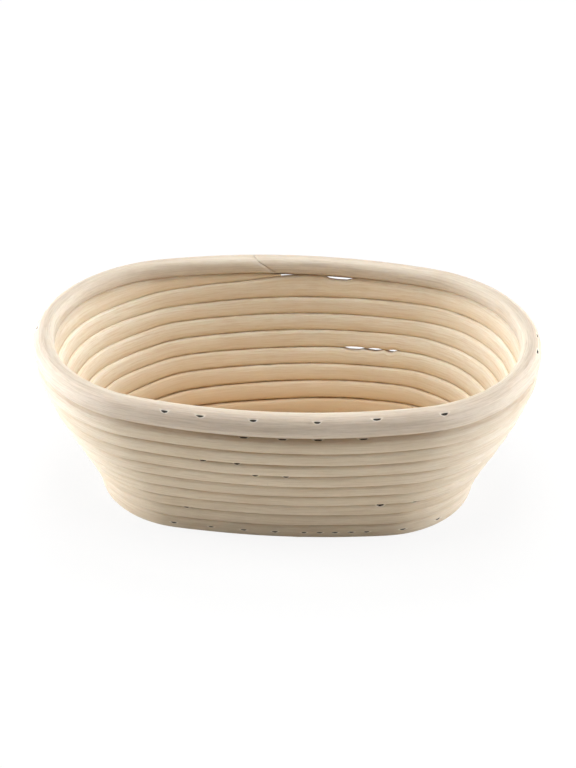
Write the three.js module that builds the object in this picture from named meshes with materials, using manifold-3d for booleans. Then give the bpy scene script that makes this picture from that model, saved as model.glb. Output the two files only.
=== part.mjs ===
// An oval proofing basket for bread dough, wound from peeled rattan cane and closed with wire staples.
// Millimetres, +Z up. The origin is on the table under the middle of the floor, +X runs along the basket,
// and the cane climbs clockwise as seen from above.
import * as THREE from 'three';
import { mergeVertices } from 'three/addons/utils/BufferGeometryUtils.js';
import Module from 'manifold-3d';

const wasm = await Module();
wasm.setup();

// The cane
const CANE_WIDTH = 9.1; // across the wall
const CANE_HEIGHT = 8.2; // along the wall, from one turn to the next
const CANE_CHAMFER = 2.4; // what rounds the corners of its section
const TURN_GAP = 0.7; // between neighbouring turns
const SHAVED_TIP = 1.3; // thickness at which a shaved end is cut off
const WALL_SCARF = 48; // length of the sloping joint between two lengths of cane

// The floor
const CORE_LENGTH = 81; // between the middles of the floor's round ends
const CORE_TIP = 3; // what the shaved ends add at the start of the floor
const CORE_TIP_SHARE = 0.6; // of the cane's thickness at such an end
const FLOOR_TURNS = 4; // round the core
const REST_CUT = 0.5; // flat that the floor stands on

// The wall
const WALL_TURNS = 9;
const LEAN_AT_FOOT = 6; // degrees from upright
const LEAN_AT_BELLY = 25.5;
const LEAN_AT_TOP = 13;
const BELLY_PLACE = 0.37; // share of the wall below the belly
const END_FLARE = 1.17; // the ends lean out this much more than the sides
const FOOT_BOW = 3.3; // the long sides bow out past the end radius
const RIM_BOW = 6.9;
const FOOT_CLEARANCE = 0.2; // of the lowest turn above the table

// The rim
const RIM_WIDTH = 10.4;
const RIM_HEIGHT = 9.8; // at its middle
const RIM_CHAMFER = 2.8;
const RIM_INSET = 0.8; // inside the line of the wall
const RIM_SEAT = 35; // degrees by which it sits down over the outer edge of the wall
const RIM_SCARF = 14; // length of the sloping cut where its ends meet

// Where a turn climbs to the next, and where lengths of cane meet, in turns from the middle of the back
const CLIMB_START = -0.145;
const CLIMB_END = 0.07;
const WALL_JOINTS = [1.13, 5.72];
const RIM_JOINT = -0.015;

// Staples, whose places are in turns from the middle of the back as well
const WIRE = 1.0;
const CROWN = 5.0;
const LONG_LEG = 13.0; // through the rim, the foot and the floor
const SHORT_LEG = 12.0; // through the wall
const STAPLE_CLEARANCE = 0.3;
const STAPLE_SINK = 0.3; // of a level staple's crown below the face of its cane
const STAPLE_REACH = 2.3; // of a slanting staple's tips past the middle of the wall
const RIM_STAPLE_SLANT = 68; // degrees above level, in at the outer corner of the rim
const WALL_STAPLE_RISE = 2.0; // above the middle of its turn
const RIM_STAPLE_PLACES = [
  0.06, 0.14, 0.235, 0.265, 0.4211, 0.4585, 0.4827, 0.509, 0.5311, 0.5456, 0.745, 0.84, 0.93,
];
const WALL_STAPLE_PLACES = { // by the level of the upper turn
  1: [0.28, 0.5537], 2: [0.4099, 0.4437], 3: [0.22, 0.64], 4: [0.34, 0.8], 5: [0.2, 0.4954, 0.5101],
  6: [0.5177, 0.5334], 7: [0.16, 0.66], 8: [0.2, 0.463, 0.4819, 0.497, 0.5134],
};
const FOOT_STAPLE_PLACES = [
  0.3603, 0.413, 0.448, 0.4573, 0.4666, 0.4758, 0.4851, 0.5024, 0.5211, 0.5405, 0.5669,
];
const FLOOR_STAPLE_PLACES = [0.03, 0.0065]; // from the middle of a long side, by turns

// Facets
const STEPS = 32; // in a turn
const SIDE_SHARE = 1 / 4; // of the steps of a quarter turn on its flat side arc

const CANE_COLOUR = '#d9c19a';
const RIM_COLOUR = '#d8cfbd';
const WIRE_COLOUR = '#8d8a85';

const pitch = CANE_HEIGHT + TURN_GAP;
const { degToRad, smoothstep, lerp } = THREE.MathUtils;

// A four-centre oval: two end arcs and two flatter side arcs that meet them in common tangents.
// The place is in turns, clockwise from the middle of the back.
function ovalAt(halfLength, halfWidth, endRadius, turns) {
  const quarters = (turns - Math.floor(turns)) * 4;
  const quarter = Math.min(3, Math.floor(quarters));
  const along = quarter % 2 === 0 ? quarters - quarter : quarter + 1 - quarters;
  const endCentre = halfLength - endRadius;
  const sideRadius = (endCentre ** 2 + halfWidth ** 2 - endRadius ** 2) / (2 * (halfWidth - endRadius));
  const meeting = Math.atan2(sideRadius - halfWidth, endCentre);
  const onSide = along < SIDE_SHARE;
  const angle = onSide
    ? lerp(Math.PI / 2, meeting, along / SIDE_SHARE)
    : lerp(meeting, 0, (along - SIDE_SHARE) / (1 - SIDE_SHARE));
  const x = onSide ? sideRadius * Math.cos(angle) : endCentre + endRadius * Math.cos(angle);
  const y = onSide ? sideRadius * Math.sin(angle) - sideRadius + halfWidth : endRadius * Math.sin(angle);
  const toRight = quarter < 2 ? 1 : -1;
  const toBack = quarter === 0 || quarter === 3 ? 1 : -1;
  return {
    point: new THREE.Vector3(toRight * x, toBack * y, 0),
    normal: new THREE.Vector3(toRight * Math.cos(angle), toBack * Math.sin(angle), 0),
  };
}

// The wall's profile: how far out and how high it stands, by level. Level 0 is the middle of the lowest
// turn.
const footLean = degToRad(LEAN_AT_FOOT);
const footInset = (CANE_WIDTH * Math.cos(footLean) + pitch * Math.sin(footLean)) / 2;
const footReach = FLOOR_TURNS * pitch + CANE_HEIGHT / 2 + TURN_GAP + footInset;
const footHeight = FOOT_CLEARANCE
  + (CANE_HEIGHT * Math.cos(footLean) + (CANE_WIDTH - 2 * CANE_CHAMFER) * Math.sin(footLean)) / 2;

function leanAt(level) {
  const share = THREE.MathUtils.clamp((level + 0.5) / WALL_TURNS, 0, 1);
  const lean = share < BELLY_PLACE
    ? lerp(LEAN_AT_FOOT, LEAN_AT_BELLY, Math.sin((share / BELLY_PLACE) * Math.PI / 2))
    : lerp(LEAN_AT_TOP, LEAN_AT_BELLY, Math.cos((share - BELLY_PLACE) / (1 - BELLY_PLACE) * Math.PI / 2));
  return degToRad(lean);
}

const PROFILE_START = -1;
const profilePoints = [new THREE.Vector2(-pitch * Math.sin(leanAt(PROFILE_START)), 0)];
profilePoints[0].y = footHeight - pitch * Math.cos(leanAt(PROFILE_START));
for (let level = PROFILE_START; level < WALL_TURNS; level += 0.5) {
  const lean = leanAt(level + 0.25);
  const stride = new THREE.Vector2(Math.sin(lean), Math.cos(lean)).multiplyScalar(pitch / 2);
  profilePoints.push(profilePoints.at(-1).clone().add(stride));
}
const profile = new THREE.SplineCurve(profilePoints);
const profileAt = (level) => profile.getPoint((level - PROFILE_START) / (WALL_TURNS - PROFILE_START));

// The oval that the wall follows at a level
function wallOval(level, turns, out) {
  const bow = lerp(FOOT_BOW, RIM_BOW, THREE.MathUtils.clamp(level / WALL_TURNS, 0, 1));
  const halfWidth = footReach + FOOT_BOW + out;
  const halfLength = CORE_LENGTH / 2 + footReach + FOOT_BOW + END_FLARE * out;
  return ovalAt(halfLength, halfWidth, halfWidth - bow, turns);
}

// The level of the wall's cane: flat all round, apart from the climb at the back.
function wallLevel(turns) {
  const climb = Math.round(turns - (CLIMB_START + CLIMB_END) / 2);
  return climb - 1 + smoothstep(turns, climb + CLIMB_START, climb + CLIMB_END);
}

// One ring of a cane's section: an octagon from its lower to its upper edge, in the upright plane of a
// normal. Its lower and upper faces may slope down towards the outside.
function ring(place, lower, upper, width, chamfer, { trim = 0, lowerSlope = 0, upperSlope = 0 } = {}) {
  const rise = upper.clone().sub(lower);
  const half = rise.length() / 2;
  const up = rise.normalize();
  const across = new THREE.Vector2(up.y, -up.x);
  const middle = lower.clone().addScaledVector(up, half);
  const cut = Math.min(chamfer, half * 0.75);
  const wide = width / 2;
  const corners = [
    [wide - trim, -half + cut], [wide - trim, half - cut], [wide - chamfer, half], [-wide + chamfer, half],
    [-wide, half - cut], [-wide, -half + cut], [-wide + chamfer, -half], [wide - chamfer, -half],
  ];
  return corners.map(([u, v]) => {
    const fall = u * (v < 0 ? lowerSlope : upperSlope);
    const flat = middle.clone().addScaledVector(across, u).addScaledVector(up, v - fall);
    return place.point.clone().addScaledVector(place.normal, flat.x).setZ(flat.y);
  });
}

// A closed tube through a row of rings, with flat ends.
function tube(rings) {
  const sides = rings[0].length;
  const indices = [];
  for (let i = 0; i + 1 < rings.length; i += 1) {
    for (let j = 0; j < sides; j += 1) {
      const a = i * sides + j;
      const b = i * sides + ((j + 1) % sides);
      indices.push(a, b, b + sides, a, b + sides, a + sides);
    }
  }
  const last = (rings.length - 1) * sides;
  for (let j = 1; j + 1 < sides; j += 1) {
    indices.push(0, j + 1, j, last, last + j, last + j + 1);
  }
  const geometry = new THREE.BufferGeometry().setFromPoints(rings.flat());
  geometry.setIndex(indices);
  return geometry;
}

// The places along a cane at which it gets a ring: its two ends, and the steps between them.
function stations(start, end) {
  const places = [start];
  const margin = 0.25 / STEPS;
  for (let step = Math.ceil((start + margin) * STEPS); step / STEPS < end - margin; step += 1) {
    places.push(step / STEPS);
  }
  places.push(end);
  return places;
}

// The first place, going from one place towards another, where a test holds.
function firstWhere(from, to, test) {
  const SEARCH_STEPS = 4000;
  for (let i = 0; i <= SEARCH_STEPS; i += 1) {
    const place = lerp(from, to, i / SEARCH_STEPS);
    if (test(place)) return place;
  }
  return to;
}

// The top of the wall slopes down to the outside, and the rim sits on it.
const rimSeat = degToRad(RIM_SEAT);
const topSlope = Math.tan(rimSeat - leanAt(WALL_TURNS));
const seatSlope = (level) => topSlope * smoothstep(level, WALL_TURNS - 1.5, WALL_TURNS - 0.5);

// A length of the wall's cane between two joints. Its first and last ends are shaved to a point between the
// climbing cane and the level floor or rim, and its other ends are cut to a sloping scarf.
const halfGap = TURN_GAP / 2 / pitch;
const wallLength = 2 * CORE_LENGTH + 2 * Math.PI * (footReach + profileAt(WALL_TURNS / 2).x);
const scarfTurns = WALL_SCARF / wallLength;

function wallSpan(turns, startJoint, endJoint) {
  const level = wallLevel(turns);
  const slope = (joint) => level + 0.5 - (turns - joint + scarfTurns / 2) / scarfTurns;
  let lower = Math.max(level - 0.5, -0.5);
  let upper = Math.min(level + 0.5, WALL_TURNS - 0.5);
  if (startJoint !== undefined) lower = Math.max(lower, slope(startJoint));
  if (endJoint !== undefined) upper = Math.min(upper, slope(endJoint));
  return { level, lower: lower + halfGap, upper: upper - halfGap };
}

function wallCane(startJoint, endJoint) {
  const thick = (turns) => {
    const span = wallSpan(turns, startJoint, endJoint);
    return (span.upper - span.lower) * pitch > SHAVED_TIP;
  };
  const first = startJoint === undefined ? CLIMB_START : startJoint - scarfTurns / 2;
  const last = endJoint === undefined ? WALL_TURNS + CLIMB_END : endJoint + scarfTurns / 2;
  const middle = (first + last) / 2;
  const rings = stations(firstWhere(first, middle, thick), firstWhere(last, middle, thick)).map((turns) => {
    const span = wallSpan(turns, startJoint, endJoint);
    const centre = profileAt(span.level);
    const place = wallOval(span.level, turns, centre.x);
    const lower = profileAt(span.lower);
    const upper = profileAt(span.upper);
    lower.x -= centre.x;
    upper.x -= centre.x;
    const slopes = { lowerSlope: seatSlope(span.lower), upperSlope: seatSlope(span.upper) };
    return ring(place, lower, upper, CANE_WIDTH, CANE_CHAMFER, slopes);
  });
  return tube(rings);
}

// The rim: one upright turn of stouter cane whose ends lap in a scarf.
const wallTop = profileAt(WALL_TURNS - 0.5);
const rimFoot = wallTop.y + RIM_INSET * Math.tan(rimSeat) + TURN_GAP;
const rimOut = wallTop.x - RIM_INSET;
const rimScarfTurns = RIM_SCARF / (2 * CORE_LENGTH + 2 * Math.PI * (footReach + rimOut));

function rimSpan(turns) {
  const rimGap = TURN_GAP / 2;
  const startSlope = RIM_HEIGHT * (0.5 - (turns - RIM_JOINT) / rimScarfTurns);
  const endSlope = RIM_HEIGHT * (0.5 - (turns - RIM_JOINT - 1) / rimScarfTurns);
  return {
    lower: Math.max(0, startSlope + rimGap),
    upper: Math.min(RIM_HEIGHT, endSlope - rimGap),
  };
}

const rimSlope = (height) => Math.tan(rimSeat) * (1 - height / RIM_HEIGHT);

function rimHoop() {
  const thick = (turns) => rimSpan(turns).upper - rimSpan(turns).lower > SHAVED_TIP;
  const first = RIM_JOINT - rimScarfTurns / 2;
  const last = RIM_JOINT + 1 + rimScarfTurns / 2;
  const ends = [first + rimScarfTurns, last - rimScarfTurns];
  const places = [firstWhere(first, ends[0], thick), ...stations(...ends), firstWhere(last, ends[1], thick)];
  const rings = places.map((turns) => {
    const span = rimSpan(turns);
    const place = wallOval(WALL_TURNS, turns, rimOut);
    const lower = new THREE.Vector2(0, rimFoot + span.lower);
    const upper = new THREE.Vector2(0, rimFoot + span.upper);
    const slopes = { lowerSlope: rimSlope(span.lower), upperSlope: rimSlope(span.upper) };
    return ring(place, lower, upper, RIM_WIDTH, RIM_CHAMFER, slopes);
  });
  return tube(rings);
}

// The floor: a flat spiral of half ovals round a straight core. The right halves are centred on the core and
// the left halves half a turn's width behind it, so each turn moves out by one pitch.
const floorMiddle = CANE_WIDTH / 2 - REST_CUT;
const bowPerTurn = FOOT_BOW / (FLOOR_TURNS + 1);

function floorPlace(turns) {
  const onRight = turns - Math.floor(turns) < 0.5;
  const turn = Math.floor(turns) + (onRight ? 0 : 0.5);
  const reach = turn * pitch;
  const bow = turn * bowPerTurn;
  const place = ovalAt(CORE_LENGTH / 2 + reach + bow, reach + bow, reach, turns);
  if (!onRight) place.point.y += (pitch + bowPerTurn) / 2;
  return place;
}

// The last half turn is shaved to fill the narrowing space inside the lowest turn of the wall.
function floorThickness(turns) {
  if (turns < FLOOR_TURNS + 0.5) return CANE_HEIGHT;
  return pitch * (1 - floorPlace(turns).normal.y) / 2 - TURN_GAP;
}

function floorRing(place, thickness, inner = -CANE_HEIGHT / 2) {
  const lower = new THREE.Vector2(inner, floorMiddle);
  const upper = new THREE.Vector2(inner + thickness, floorMiddle);
  return ring(place, lower, upper, CANE_WIDTH, CANE_CHAMFER, { trim: REST_CUT });
}

function floorCoil() {
  const start = 1 - SIDE_SHARE / 4;
  const thick = (turns) => floorThickness(turns) > SHAVED_TIP;
  const end = firstWhere(FLOOR_TURNS + 1, FLOOR_TURNS + 0.5, thick);
  const tip = floorPlace(start);
  tip.point.x -= CORE_TIP;
  const rings = stations(start, end).map((turns) => floorRing(floorPlace(turns), floorThickness(turns)));
  return tube([floorRing(tip, CORE_TIP_SHARE * CANE_HEIGHT), ...rings]);
}

function floorCore() {
  const half = CORE_LENGTH / 2;
  const places = [-half - CORE_TIP, -half, half, half + CORE_TIP];
  return tube(places.map((x) => {
    const place = { point: new THREE.Vector3(x, 0, 0), normal: new THREE.Vector3(0, 1, 0) };
    const thickness = Math.abs(x) > half ? CORE_TIP_SHARE * CANE_HEIGHT : CANE_HEIGHT;
    return floorRing(place, thickness, -thickness / 2);
  }));
}

// A wire staple: its crown runs along the cane and its legs go down -Y. A pocket is the same shape, grown by
// the clearance and open at the mouth.
function stapleShape(leg, grow, mouth) {
  const wide = CROWN / 2 + grow;
  const inner = CROWN / 2 - WIRE - grow;
  const tip = -leg - grow;
  const outline = [
    [-wide, mouth], [-wide, tip], [-inner, tip], [-inner, -WIRE - grow],
    [inner, -WIRE - grow], [inner, tip], [wide, tip], [wide, mouth],
  ];
  const depth = WIRE + 2 * grow;
  const shape = new THREE.Shape(outline.map(([x, y]) => new THREE.Vector2(x, y)));
  const geometry = new THREE.ExtrudeGeometry(shape, { depth, bevelEnabled: false });
  return geometry.translate(0, 0, -depth / 2);
}

// Where a staple goes in, and which way: a point and a direction out of the cane, in the upright plane of a
// place's normal.
function stapleMatrix(place, entry, out) {
  const point = place.point.clone().addScaledVector(place.normal, entry.x).setZ(entry.y);
  const back = place.normal.clone().multiplyScalar(out.x).setZ(out.y).normalize();
  const along = new THREE.Vector3(0, 0, 1).cross(place.normal).normalize();
  const side = along.clone().cross(back);
  return new THREE.Matrix4().makeBasis(along, back, side).setPosition(point);
}

// A slanting staple, from an entry in the outside of a turn down into the turn below it
function slantedStaple(place, entry, slant, leg) {
  const out = new THREE.Vector2(Math.cos(slant), Math.sin(slant));
  return { matrix: stapleMatrix(place, entry, out), leg, mouth: 2 * WIRE };
}

// A level staple, from the outer side of one turn into the next turn inwards
function levelStaple(place, reach, height, mouth) {
  const entry = new THREE.Vector2(reach - STAPLE_SINK, height);
  const matrix = stapleMatrix(place, entry, new THREE.Vector2(1, 0));
  return { matrix, leg: LONG_LEG, mouth };
}

const staples = {};
const numbered = (kind, number) => `${kind}_staple_${String(number).padStart(2, '0')}`;

RIM_STAPLE_PLACES.forEach((turns, i) => {
  const place = wallOval(WALL_TURNS, turns, rimOut);
  const corner = (RIM_CHAMFER + WIRE) / 2;
  const entry = new THREE.Vector2(RIM_WIDTH / 2 - corner, rimFoot + RIM_HEIGHT - corner);
  staples[numbered('rim', i + 1)] = slantedStaple(place, entry, degToRad(RIM_STAPLE_SLANT), LONG_LEG);
});

let wallStaples = 0;
for (const [key, places] of Object.entries(WALL_STAPLE_PLACES)) {
  const level = Number(key);
  const lean = leanAt(level);
  const centre = profileAt(level);
  const across = new THREE.Vector2(Math.cos(lean), -Math.sin(lean));
  const up = new THREE.Vector2(Math.sin(lean), Math.cos(lean));
  const depth = CANE_WIDTH / 2 - WIRE;
  const slant = Math.acos((depth + STAPLE_REACH) / SHORT_LEG) - lean;
  const entry = new THREE.Vector2(0, centre.y);
  entry.addScaledVector(across, depth).addScaledVector(up, WALL_STAPLE_RISE);
  for (const turns of places) {
    wallStaples += 1;
    const place = wallOval(level, turns, centre.x);
    staples[numbered('wall', wallStaples)] = slantedStaple(place, entry, slant, SHORT_LEG);
  }
}

FOOT_STAPLE_PLACES.forEach((turns, i) => {
  const reach = CANE_WIDTH / 2 / Math.cos(footLean);
  const place = wallOval(0, turns, profileAt(0).x);
  staples[numbered('foot', i + 1)] = levelStaple(place, reach, footHeight, 2 * WIRE);
});

for (let turn = 1; turn <= FLOOR_TURNS; turn += 1) {
  const shifts = turn % 2 === 0 ? FLOOR_STAPLE_PLACES : FLOOR_STAPLE_PLACES.toReversed();
  [turn + shifts[0], turn + 0.5 - shifts[1]].forEach((turns, i) => {
    const mouth = STAPLE_SINK + TURN_GAP / 2;
    const staple = levelStaple(floorPlace(turns), CANE_HEIGHT / 2, floorMiddle, mouth);
    staples[numbered('floor', 2 * turn - 1 + i)] = staple;
  });
}

// Cutting the staples' pockets
function toSolid(geometry) {
  geometry.deleteAttribute('normal');
  geometry.deleteAttribute('uv');
  const merged = mergeVertices(geometry);
  const vertProperties = new Float32Array(merged.attributes.position.array);
  const triVerts = new Uint32Array(merged.index.array);
  return new wasm.Manifold(new wasm.Mesh({ numProp: 3, vertProperties, triVerts }));
}

function toGeometry(solid) {
  const { vertProperties, triVerts } = solid.getMesh();
  const geometry = new THREE.BufferGeometry();
  geometry.setAttribute('position', new THREE.BufferAttribute(vertProperties, 3));
  geometry.setIndex(new THREE.BufferAttribute(triVerts, 1));
  return geometry;
}

const pockets = Object.values(staples).map(({ matrix, leg, mouth }) => {
  return toSolid(stapleShape(leg, STAPLE_CLEARANCE, mouth).applyMatrix4(matrix));
});
const allPockets = pockets.reduce((sum, pocket) => sum.add(pocket));

// The least gap of a wound cane to itself, on the points of its rings that lie half a turn or more apart.
function leastSelfGap(geometry) {
  const SIDES = 8;
  const points = geometry.attributes.position;
  const a = new THREE.Vector3();
  const b = new THREE.Vector3();
  let least = Infinity;
  for (let i = 0; i < points.count; i += 1) {
    a.fromBufferAttribute(points, i);
    for (let j = i + SIDES * STEPS / 2; j < points.count; j += 1) {
      least = Math.min(least, a.distanceToSquared(b.fromBufferAttribute(points, j)));
    }
  }
  return Math.sqrt(least);
}

const wound = {
  floor_coil: floorCoil(),
  wall_cane_lower: wallCane(undefined, WALL_JOINTS[0]),
  wall_cane_middle: wallCane(WALL_JOINTS[0], WALL_JOINTS[1]),
  wall_cane_upper: wallCane(WALL_JOINTS[1], undefined),
};
for (const [name, geometry] of Object.entries(wound)) {
  console.log(`${name}: least gap to itself ${leastSelfGap(geometry).toFixed(2)} mm`);
}

// The basket
const finish = (color, roughness, metalness) => new THREE.MeshStandardMaterial({ color, roughness, metalness });
const caneMaterial = () => finish(CANE_COLOUR, 0.75, 0);
const rimMaterial = () => finish(RIM_COLOUR, 0.8, 0);
const wireMaterial = () => finish(WIRE_COLOUR, 0.4, 1);

const basket = new THREE.Group();
basket.name = 'proofing_basket';

function addPiece(name, geometry, material) {
  const mesh = new THREE.Mesh(geometry, material);
  mesh.name = name;
  basket.add(mesh);
  return mesh;
}

const canes = { floor_core: floorCore(), ...wound };
for (const [name, geometry] of Object.entries(canes)) {
  addPiece(name, toGeometry(toSolid(geometry).subtract(allPockets)), caneMaterial());
}
addPiece('rim_hoop', toGeometry(toSolid(rimHoop()).subtract(allPockets)), rimMaterial());
for (const [name, { matrix, leg }] of Object.entries(staples)) {
  addPiece(name, stapleShape(leg, 0, 0), wireMaterial()).applyMatrix4(matrix);
}

const size = new THREE.Box3().setFromObject(basket).getSize(new THREE.Vector3());
console.log(`basket ${size.x.toFixed(1)} x ${size.y.toFixed(1)} x ${size.z.toFixed(1)} mm`);

export default basket;
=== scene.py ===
# %% [markdown]
# # An oval proofing basket of coiled cane
# Bread dough rises in this basket. It is wound from peeled rattan: a flat spiral makes the floor, nine turns
# climb the leaning wall, and one stouter hoop closes the top. Wire staples hold each turn to the next.
# The construction comes from the frame and is never changed here. This lesson dresses it: every cane is made
# again as a fine surface that lies where its plain cane lies.

# %% Load the construction
import math

import bpy
import numpy as np
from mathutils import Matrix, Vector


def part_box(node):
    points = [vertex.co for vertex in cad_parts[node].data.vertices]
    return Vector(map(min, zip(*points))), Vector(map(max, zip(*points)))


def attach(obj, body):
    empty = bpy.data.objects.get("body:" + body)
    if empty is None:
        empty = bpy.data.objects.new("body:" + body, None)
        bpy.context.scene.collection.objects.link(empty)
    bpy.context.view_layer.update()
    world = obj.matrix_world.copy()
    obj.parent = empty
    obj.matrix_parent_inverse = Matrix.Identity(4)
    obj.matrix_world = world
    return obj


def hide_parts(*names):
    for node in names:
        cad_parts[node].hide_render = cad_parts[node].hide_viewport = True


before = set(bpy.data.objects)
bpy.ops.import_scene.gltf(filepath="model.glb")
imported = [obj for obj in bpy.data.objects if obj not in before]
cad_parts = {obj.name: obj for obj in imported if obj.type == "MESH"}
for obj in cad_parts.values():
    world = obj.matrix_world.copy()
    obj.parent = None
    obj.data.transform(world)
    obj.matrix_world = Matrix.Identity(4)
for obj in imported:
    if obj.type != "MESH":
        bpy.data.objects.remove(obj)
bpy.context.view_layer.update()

MM = 0.001

# %% [markdown]
# ## The basket's plan and profile
# A maker thinks of this basket as a cane, a plan and a lean. The plan is an oval of four arcs, two round ends
# and two flatter sides. The lean says how far the wall tips outwards at each turn: a little at the foot, most
# at the belly, and hardly at all under the rim. Both are written as formulas, because the same two shapes
# place every cane, every staple and every mark on them. A place round the basket is counted in turns,
# clockwise from the middle of the back, and a place up the wall in levels, one for each turn of cane.

# %% Sizes of the winding, in millimetres
CANE_WIDTH = 9.1
PITCH = 8.9
CANE_CHAMFER = 2.4
CORE_LENGTH = 81.0
CORE_TIP = 3.0
FLOOR_TURNS = 4
WALL_TURNS = 9
LEAN_AT_FOOT, LEAN_AT_BELLY, LEAN_AT_TOP = 6.0, 25.5, 13.0
BELLY_PLACE = 0.37
END_FLARE = 1.17
FOOT_BOW, RIM_BOW = 3.3, 6.9
CLIMB_START, CLIMB_END = -0.145, 0.07
SIDE_SHARE = 0.25
RIM_INSET = 0.8
RIM_SEAT = math.radians(35.0)
RIM_JOINT = -0.0114
RIM_SCARF = 9.5
RIM_RISE = 10.9
WALL_JOINTS = (1.13, 5.72)
WALL_SCARF = 48.0
SHAVED_TIP = 1.0
CAD_GAP = 0.7

FOOT_LEAN = math.radians(LEAN_AT_FOOT)
CAD_CANE_HEIGHT = PITCH - CAD_GAP
FOOT_INSET = (CANE_WIDTH * math.cos(FOOT_LEAN) + PITCH * math.sin(FOOT_LEAN)) / 2
FOOT_REACH = FLOOR_TURNS * PITCH + CAD_CANE_HEIGHT / 2 + CAD_GAP + FOOT_INSET
FOOT_FLAT = CANE_WIDTH - 2 * CANE_CHAMFER
FOOT_CLEARANCE = 0.2
FOOT_HEIGHT = FOOT_CLEARANCE + (CAD_CANE_HEIGHT * math.cos(FOOT_LEAN) + FOOT_FLAT * math.sin(FOOT_LEAN)) / 2


def smooth_step(value, low, high):
    share = np.clip((value - low) / (high - low), 0.0, 1.0)
    return share * share * (3.0 - 2.0 * share)


# %% The oval plan
def arcs(half_length, half_width, end_radius, turns):
    """Points and outward normals of a four-centre oval at places counted in turns."""
    quarters = (turns % 1.0) * 4.0
    quarter = np.minimum(3.0, np.floor(quarters))
    along = np.where(quarter % 2 == 0, quarters - quarter, quarter + 1.0 - quarters)
    end_centre = half_length - end_radius
    side_radius = (end_centre**2 + half_width**2 - end_radius**2) / (2.0 * (half_width - end_radius))
    meeting = np.arctan2(side_radius - half_width, end_centre)
    on_side = along < SIDE_SHARE
    side_angle = math.pi / 2 + (meeting - math.pi / 2) * along / SIDE_SHARE
    end_angle = meeting * (1.0 - (along - SIDE_SHARE) / (1.0 - SIDE_SHARE))
    angle = np.where(on_side, side_angle, end_angle)
    x = np.where(on_side, side_radius * np.cos(angle), end_centre + end_radius * np.cos(angle))
    y_side = side_radius * np.sin(angle) - side_radius + half_width
    y = np.where(on_side, y_side, end_radius * np.sin(angle))
    to_right = np.where(quarter < 2, 1.0, -1.0)
    to_back = np.where((quarter == 0) | (quarter == 3), 1.0, -1.0)
    return to_right * x, to_back * y, to_right * np.cos(angle), to_back * np.sin(angle)


SOFTENING = ((-0.03, -3.0), (-0.015, 12.0), (0.0, 17.0), (0.015, 12.0), (0.03, -3.0))


def oval(half_length, half_width, end_radius, turns):
    """The same oval with the arcs eased into each other, as a bent cane does by itself."""
    total = np.zeros((4, len(turns)))
    for shift, weight in SOFTENING:
        total += weight * np.stack(arcs(half_length, half_width, end_radius, turns + shift))
    x, y, normal_x, normal_y = total / sum(weight for shift, weight in SOFTENING)
    return x, y, normal_x / np.hypot(normal_x, normal_y), normal_y / np.hypot(normal_x, normal_y)


# %% The leaning profile
def lean_at(level):
    share = np.clip((level + 0.5) / WALL_TURNS, 0.0, 1.0)
    rising = np.sin(np.clip(share / BELLY_PLACE, 0.0, 1.0) * math.pi / 2)
    falling = np.cos(np.clip((share - BELLY_PLACE) / (1.0 - BELLY_PLACE), 0.0, 1.0) * math.pi / 2)
    below = LEAN_AT_FOOT + (LEAN_AT_BELLY - LEAN_AT_FOOT) * rising
    above = LEAN_AT_TOP + (LEAN_AT_BELLY - LEAN_AT_TOP) * falling
    return np.radians(np.where(share < BELLY_PLACE, below, above))


PROFILE_STEP = 0.01
profile_levels = np.arange(-1.0, WALL_TURNS + 1.0, PROFILE_STEP)
profile_leans = lean_at(profile_levels + PROFILE_STEP / 2)
profile_out = np.cumsum(np.sin(profile_leans)) * PITCH * PROFILE_STEP - PITCH * math.sin(FOOT_LEAN)
profile_up = np.cumsum(np.cos(profile_leans)) * PITCH * PROFILE_STEP - PITCH * math.cos(FOOT_LEAN)
profile_up += FOOT_HEIGHT


def profile(level):
    """How far the wall stands out from the foot's line, and how high, at a level."""
    return np.interp(level, profile_levels, profile_out), np.interp(level, profile_levels, profile_up)


def wall_oval(level, turns, out):
    bow = FOOT_BOW + (RIM_BOW - FOOT_BOW) * np.clip(level / WALL_TURNS, 0.0, 1.0)
    half_width = FOOT_REACH + FOOT_BOW + out
    half_length = CORE_LENGTH / 2 + FOOT_REACH + FOOT_BOW + END_FLARE * out
    return oval(half_length, half_width, half_width - bow, turns)


def wall_level(turns):
    climb = np.floor(turns - (CLIMB_START + CLIMB_END) / 2 + 0.5)
    return climb - 1.0 + smooth_step(turns, climb + CLIMB_START, climb + CLIMB_END)


WALL_TOP_OUT, WALL_TOP_UP = profile(WALL_TURNS - 0.5)
RIM_OUT = WALL_TOP_OUT - RIM_INSET
RIM_TOP = WALL_TOP_UP + RIM_RISE
cad_rim_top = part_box("rim_hoop")[1][2] / MM
print("rim top by formula", round(RIM_TOP, 2), "and in the frame", round(cad_rim_top, 2))

# %% [markdown]
# ## How a cane is rolled
# A peeled cane is a long rod with a soft, nearly square section. A curve with a bevel would give one quickly,
# but such a tube can't press flat against its neighbour, thin out to a shaved tip, or take a staple's dent.
# So a flat grid is rolled up instead, as one rolls a sheet of paper: one side of the grid runs along the cane
# and the other goes round it. The roll's open edge lies on the side that the next turn hides. It is merged on
# the rim and the floor. On the wall canes, whose inner and outer faces tilt by different amounts, it stays
# open by about a tenth of a millimetre, out of sight. The grid's UV map keeps the place along the cane in
# metres and the place round it from 0 to 1, for the grain.

# %% The soft square section
POINTS_ROUND = 44
SIDE_SPACING = 0.62


def lengths_along(x, y):
    return np.concatenate([[0.0], np.cumsum(np.hypot(np.diff(x), np.diff(y)))])


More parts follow.
